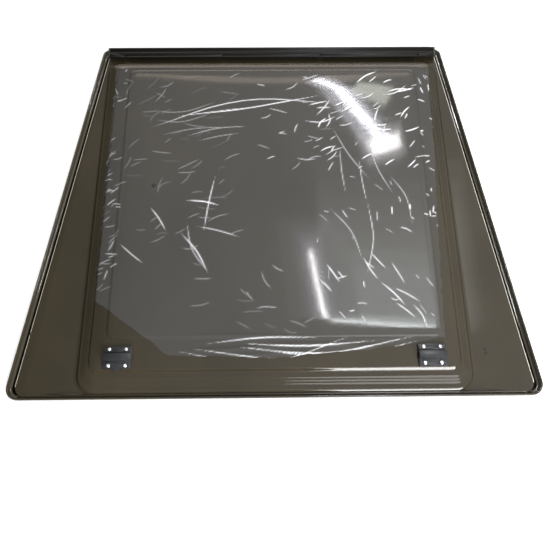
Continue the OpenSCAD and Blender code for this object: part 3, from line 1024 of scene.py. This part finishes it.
class ROOFLIGHT_OT_screws(bpy.types.Operator):
    """Makes one pan head screw with a cross recess and copies it to the brackets' corners"""

    bl_idname = "rooflight.screws"
    bl_label = "Bracket screws"
    bl_options = {"REGISTER", "UNDO"}

    def execute(self, context):
        user = settings()
        steel = bright_steel("bright_steel", user.finishes.steel)
        low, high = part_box("bracket_screws_left")
        head, shank = 3 * MM, 1.7 * MM
        seat = high.z - 2.2 * MM
        tip = 1.5 * MM
        first = Vector((low.x + head, low.y + head, 0))
        deselect_all()
        bpy.ops.mesh.primitive_cylinder_add(
            vertices=32, radius=head, depth=high.z - seat, location=(first.x, first.y, (high.z + seat) / 2))
        screw = take_name("screw_left_1")
        bpy.ops.object.transform_apply(location=True, rotation=True, scale=True)
        edit(screw)
        select("EDGE", lambda e: all(abs(v.co.z - high.z) < 1e-6 for v in e.verts))
        bpy.ops.mesh.bevel(offset=1.5 * MM, segments=5, affect="EDGES")
        select("FACE", lambda f: f.normal.z < -0.9 and len(f.verts) > 8)
        bpy.ops.mesh.inset(thickness=head - shank)
        bpy.ops.mesh.extrude_region_move(TRANSFORM_OT_translate={"value": (0, 0, -(seat - low.z - tip))})
        bpy.ops.mesh.inset(thickness=0.9 * MM)
        bpy.ops.transform.translate(value=(0, 0, -tip))
        close_edit()
        for length_x, length_y in ((3.4, 0.8), (0.8, 3.4)):
            reach = Vector((length_x, length_y, 0)) * MM / 2
            cut_away(screw, add_block("recess", first - reach + Vector((0, 0, high.z - 1.3 * MM)),
                                      first + reach + Vector((0, 0, high.z + 1 * MM))))
        face_outwards(screw)
        ends_x = (low.x + head, high.x - head)
        ends_y = (low.y + head, high.y - head)
        places = [Vector((x, y, 0)) for x in ends_x for y in ends_y]
        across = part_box("bracket_screws_right")[0].x - low.x
        for side, offset in (("left", 0.0), ("right", across)):
            for number, place in enumerate(places, 1):
                name = f"screw_{side}_{number}"
                piece = screw
                if name != screw.name:
                    piece = copy_piece(screw, name, place - first + Vector((offset, 0, 0)))
                nodes = [f"bracket_screws_{side}"] if number == 1 else []
                if piece is not screw:
                    finish_piece(piece, "pane", "bright_steel", steel, nodes)
        finish_piece(screw, "pane", "bright_steel", steel, ["bracket_screws_left"])
        return {"FINISHED"}


class ROOFLIGHT_OT_plugs(bpy.types.Operator):
    """Makes one domed breather plug and copies it to the holes"""

    bl_idname = "rooflight.plugs"
    bl_label = "Breather plugs"
    bl_options = {"REGISTER", "UNDO"}

    def execute(self, context):
        user = settings()
        rubber = moulded_plastic("black_rubber", user.finishes.rubber, 0.4, 700.0)
        names = ["left_front", "left_rear", "right_front", "right_rear", "centre"]
        boxes = [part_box(f"breather_plug_{name}") for name in names]
        low, high = boxes[0]
        centre = (low + high) / 2
        radius = (high.x - low.x) / 2
        head_bottom = TAPE_LOW.z
        deselect_all()
        bpy.ops.mesh.primitive_cylinder_add(
            vertices=32, radius=radius, depth=high.z - head_bottom,
            location=(centre.x, centre.y, (high.z + head_bottom) / 2))
        plug = take_name("plug_left_front")
        bpy.ops.object.transform_apply(location=True, rotation=True, scale=True)
        edit(plug)
        select("EDGE", lambda e: all(abs(v.co.z - high.z) < 1e-6 for v in e.verts))
        bpy.ops.mesh.bevel(offset=0.8 * MM, segments=4, affect="EDGES")
        select("FACE", lambda f: f.normal.z < -0.9 and len(f.verts) > 8)
        bpy.ops.mesh.inset(thickness=radius - 1.4 * MM)
        bpy.ops.mesh.extrude_region_move(TRANSFORM_OT_translate={"value": (0, 0, low.z - head_bottom)})
        select("FACE", lambda f: f.normal.z > 0.9 and len(f.verts) > 8)
        bpy.ops.mesh.inset(thickness=0.5 * MM)
        bpy.ops.mesh.inset(thickness=0.3 * MM, depth=-0.3 * MM)
        close_edit()
        face_outwards(plug)
        for name, (other_low, other_high) in zip(names[1:], boxes[1:]):
            twin = copy_piece(plug, f"plug_{name}", (other_low + other_high) / 2 - centre)
            finish_piece(twin, "pane", "black_rubber", rubber, [f"breather_plug_{name}"])
        finish_piece(plug, "pane", "black_rubber", rubber, ["breather_plug_left_front"])
        return {"FINISHED"}


# Tones of the parts that are hardly seen
BOND_TONE = (0.20, 0.19, 0.16)
TAPE_TONE = (0.02, 0.02, 0.02)
FOAM_TONE = (0.03, 0.03, 0.03)


class ROOFLIGHT_OT_carried_over(bpy.types.Operator):
    """Gives the CAD parts that stay in view their finishes"""

    bl_idname = "rooflight.carried_over"
    bl_label = "Bond, tape, pads and blocks"
    bl_options = {"REGISTER", "UNDO"}

    def execute(self, context):
        user = settings()
        finishes = {
            "edge_bond": plain_tone("bond", BOND_TONE, 0.4),
            "hinge_bedding_tape": plain_tone("bedding_tape", TAPE_TONE, 0.7),
            "bracket_pad_left": plain_tone("foam", FOAM_TONE, 0.85, 500.0, 0.2),
            "backing_block_left": smoked_acrylic("acrylic_block", user.finishes.inner_acrylic, 0.92),
        }
        finishes["bracket_pad_right"] = finishes["bracket_pad_left"]
        finishes["backing_block_right"] = finishes["backing_block_left"]
        for node, material in finishes.items():
            part = frame["nodes"][node]
            part.data.materials.clear()
            part.data.materials.append(material)
        return {"FINISHED"}


# ---------------------------------------------------------------- stage


def aim(direction, up):
    """Turns an object's -Z to a direction."""
    back = -direction.normalized()
    right = up.cross(back).normalized()
    return Matrix((right, back.cross(right), back)).transposed().to_4x4()


def overhead(eye, x, y, height):
    """Where a light hangs so that the flat plateau mirrors it at a place, seen from the camera."""
    ray = Vector((x, y, 0)) - Vector((eye[0], eye[1], 0))
    return Vector((x, y, 0)) + ray * (height - PAD_LOW.z) / (eye[2] - PAD_LOW.z) + Vector((0, 0, height))


def add_light(name, place, target, size_x, size_y, glow, colour=(1, 1, 1), turn=0.0):
    """A rectangular soft light of one brightness, turned towards a target."""
    light = bpy.data.lights.new(name, "AREA")
    light.shape = "RECTANGLE"
    light.size, light.size_y = size_x, size_y
    light.energy = glow * math.pi * size_x * size_y
    light.color = colour
    lamp = bpy.data.objects.new(name, light)
    up = Vector((0, 1, 0)) if abs((target - place).normalized().z) > 0.9 else Vector((0, 0, 1))
    lamp.matrix_world = Matrix.Translation(place) @ aim(target - place, up) @ Matrix.Rotation(turn, 4, "Z")
    bpy.context.scene.collection.objects.link(lamp)
    lamp.visible_camera = False
    return lamp


def add_strip(name, start, end, width, glow, colour=(1, 1, 1)):
    """A long thin light between two places overhead."""
    middle = (start + end) / 2
    line = end - start
    turn = math.atan2(line.y, line.x)
    return add_light(name, middle, middle - Vector((0, 0, 1)), line.length, width, glow, colour, turn)


# The floor's size, and how far it lies below the pane
FLOOR_SIZE = 24
FLOOR_DROP = 0.4 * MM


class ROOFLIGHT_OT_stage(bpy.types.Operator):
    """Sets the floor, the camera and the studio lights"""

    bl_idname = "rooflight.stage"
    bl_label = "Stage"
    bl_options = {"REGISTER", "UNDO"}

    def execute(self, context):
        user = settings()
        stage = user.stage
        deselect_all()
        bpy.ops.mesh.primitive_plane_add(size=FLOOR_SIZE, location=(0, 0, -FLOOR_DROP))
        floor = take_name("floor")
        bpy.ops.object.transform_apply(location=True, rotation=True, scale=True)
        floor.data.materials.append(plain_tone("pale_floor", user.finishes.floor, 0.75, 30.0, 0.02, 0.01))
        self.camera(stage)
        bpy.context.scene.view_settings.view_transform = "Standard"
        self.lights(stage)
        return {"FINISHED"}

    def camera(self, stage):
        """Sets the camera at its place, turned by its yaw, pitch and roll."""
        pitch, yaw, roll = stage.eye_pitch, stage.eye_yaw, stage.eye_roll
        look = Vector((math.sin(yaw) * math.cos(pitch), math.cos(yaw) * math.cos(pitch), -math.sin(pitch)))
        right = look.cross(Vector((0, 0, 1))).normalized()
        up = right.cross(look)
        tilted_right = math.cos(roll) * right + math.sin(roll) * up
        tilted_up = -math.sin(roll) * right + math.cos(roll) * up
        camera = bpy.data.cameras.new("camera")
        camera.lens = stage.lens
        camera.sensor_width = 36
        holder = bpy.data.objects.new("camera", camera)
        turn = Matrix((tilted_right, tilted_up, -look)).transposed().to_4x4()
        holder.matrix_world = Matrix.Translation(Vector(stage.eye)) @ turn
        bpy.context.scene.collection.objects.link(holder)
        bpy.context.scene.camera = holder

    def lights(self, stage):
        """Hangs the lights that the plateau mirrors, and three that stand round the pane."""
        scene = bpy.context.scene
        scene.world = self.room()
        eye = stage.eye
        # Each light hangs 1 cm above the last, because lights in one plane hide each other in reflections
        levels = iter(stage.ceiling + 0.01 * number for number in range(40))

        def hang(name, x, y, size_x, size_y, glow, colour=(1, 1, 1), turn=0.0):
            """Hangs a light that the plateau mirrors at shares of the pane's highest x and y."""
            place = overhead(eye, x * OUTER_HIGH.x, y * OUTER_HIGH.y, next(levels))
            add_light(name, place, place - Vector((0, 0, 1)), size_x, size_y, glow, colour, turn)

        def tube(name, start, end, width, glow, colour=(1, 1, 1)):
            """Hangs a strip light that the plateau mirrors between two such places."""
            height = next(levels)
            ends = [overhead(eye, x * OUTER_HIGH.x, y * OUTER_HIGH.y, height) for x, y in (start, end)]
            add_strip(name, *ends, width, glow, colour)

        cool = (0.90, 0.90, 1.0)
        tube("tube_core", (0.2, 0.9), (0.5, 0.35), 0.055, 60, cool)
        tube("tube_halo", (0.2, 0.9), (0.5, 0.3), 0.17, 9, cool)
        hang("tube_end", 0.5, 0.35, 0.22, 0.11, 30, (1.0, 0.97, 0.97), 0.3)
        hang("tube_end_halo", 0.5, 0.35, 0.32, 0.24, 4, (0.97, 0.95, 1.0), 0.3)
        tube("far_tube_core", (0.15, -0.3), (0.2, -0.7), 0.022, 55, (1.0, 1.0, 0.97))
        for number, (width, glow) in enumerate(((0.07, 3.0), (0.14, 1.4), (0.24, 0.8), (0.40, 0.5))):
            tube(f"far_tube_halo_{number}", (0.15, -0.25 + 0.05 * number), (0.2, -0.7), width, glow,
                 (0.86, 0.84, 1.0))
        hang("skylight", 0.45, 0.7, 0.24, 0.15, 13, (0.95, 1.0, 0.88), -0.45)
        tube("beam", (-0.7, 0.9), (0.7, 0.9), 0.13, 3.2, (1.0, 0.85, 0.66))
        for number in range(10):
            near = number / 9
            hang(f"window_{number}", 0.5 - 0.07 * near, -0.2 - 0.5 * near ** 0.8, 0.92 - 0.30 * near,
                 1.05 - 0.96 * near, 0.4 + 13.0 * near ** 5, (0.93, 1.0, 1.0))
        add_light("back_wall", Vector((0, 2.6, 0.8)), Vector((0, 0, 0)), 3.0, 1.3, 3, (1.0, 0.86, 0.70))
        centre = Vector((0, 0, 0))
        add_light("front_wall", Vector((1.0, -2.3, 0.95)), centre, 1.5, 1.3, 22)
        add_light("key", Vector((1.1, -1.7, 2.9)), centre, 1.6, 1.6, 4)

    def room(self):
        """The room round the pane: a pale ceiling, dimmer to the left, over dark walls."""
        world = bpy.data.worlds.new("studio")
        world.use_nodes = True
        nodes, links = world.node_tree.nodes, world.node_tree.links
        background = nodes["Background"]
        background.inputs["Color"].default_value = (1.0, 1.0, 1.0, 1.0)
        coordinates = nodes.new("ShaderNodeTexCoord")
        parts = nodes.new("ShaderNodeSeparateXYZ")
        links.new(coordinates.outputs["Generated"], parts.inputs["Vector"])
        fades = []
        for axis, start, end, low, high in (("X", -0.50, 0.20, 0.18, 1.15), ("Z", 0.42, 0.72, 0.28, 1.0)):
            fade = nodes.new("ShaderNodeMapRange")
            fade.interpolation_type = "SMOOTHSTEP"
            fade.inputs["From Min"].default_value = start
            fade.inputs["From Max"].default_value = end
            fade.inputs["To Min"].default_value = low
            fade.inputs["To Max"].default_value = high
            links.new(parts.outputs[axis], fade.inputs["Value"])
            fades.append(fade.outputs["Result"])
        product = nodes.new("ShaderNodeMath")
        product.operation = "MULTIPLY"
        for fade, socket in zip(fades, product.inputs):
            links.new(fade, socket)
        links.new(product.outputs["Value"], background.inputs["Strength"])
        return world


OPERATORS = (
    ROOFLIGHT_OT_outer_skin,
    ROOFLIGHT_OT_inner_skin,
    ROOFLIGHT_OT_film,
    ROOFLIGHT_OT_hinge,
    ROOFLIGHT_OT_brackets,
    ROOFLIGHT_OT_screws,
    ROOFLIGHT_OT_plugs,
    ROOFLIGHT_OT_carried_over,
    ROOFLIGHT_OT_stage,
)


class ROOFLIGHT_PT_panel(bpy.types.Panel):
    """Lists the operators and the settings"""

    bl_idname = "ROOFLIGHT_PT_panel"
    bl_label = "Rooflight"
    bl_space_type = "VIEW_3D"
    bl_region_type = "UI"
    bl_category = "Rooflight"

    def draw(self, context):
        for operator in OPERATORS:
            self.layout.operator(operator.bl_idname)
        for group in ("skins", "steps", "film", "finishes", "stage"):
            box = self.layout.box()
            values = getattr(context.scene.rooflight, group)
            for name in values.__annotations__:
                box.prop(values, name)


CLASSES = (
    SkinSizes, StepSizes, FilmSizes, Finishes, StageSizes, RooflightSettings, *OPERATORS, ROOFLIGHT_PT_panel,
)


def register():
    """Registers the classes and the settings."""
    for cls in CLASSES:
        bpy.utils.register_class(cls)
    bpy.types.Scene.rooflight = PointerProperty(type=RooflightSettings)


def unregister():
    """Takes them away again."""
    del bpy.types.Scene.rooflight
    for cls in reversed(CLASSES):
        bpy.utils.unregister_class(cls)


def main():
    """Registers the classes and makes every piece."""
    register()
    for operator in OPERATORS:
        group, name = operator.bl_idname.split(".")
        getattr(getattr(bpy.ops, group), name)()


if __name__ == "__main__":
    main()
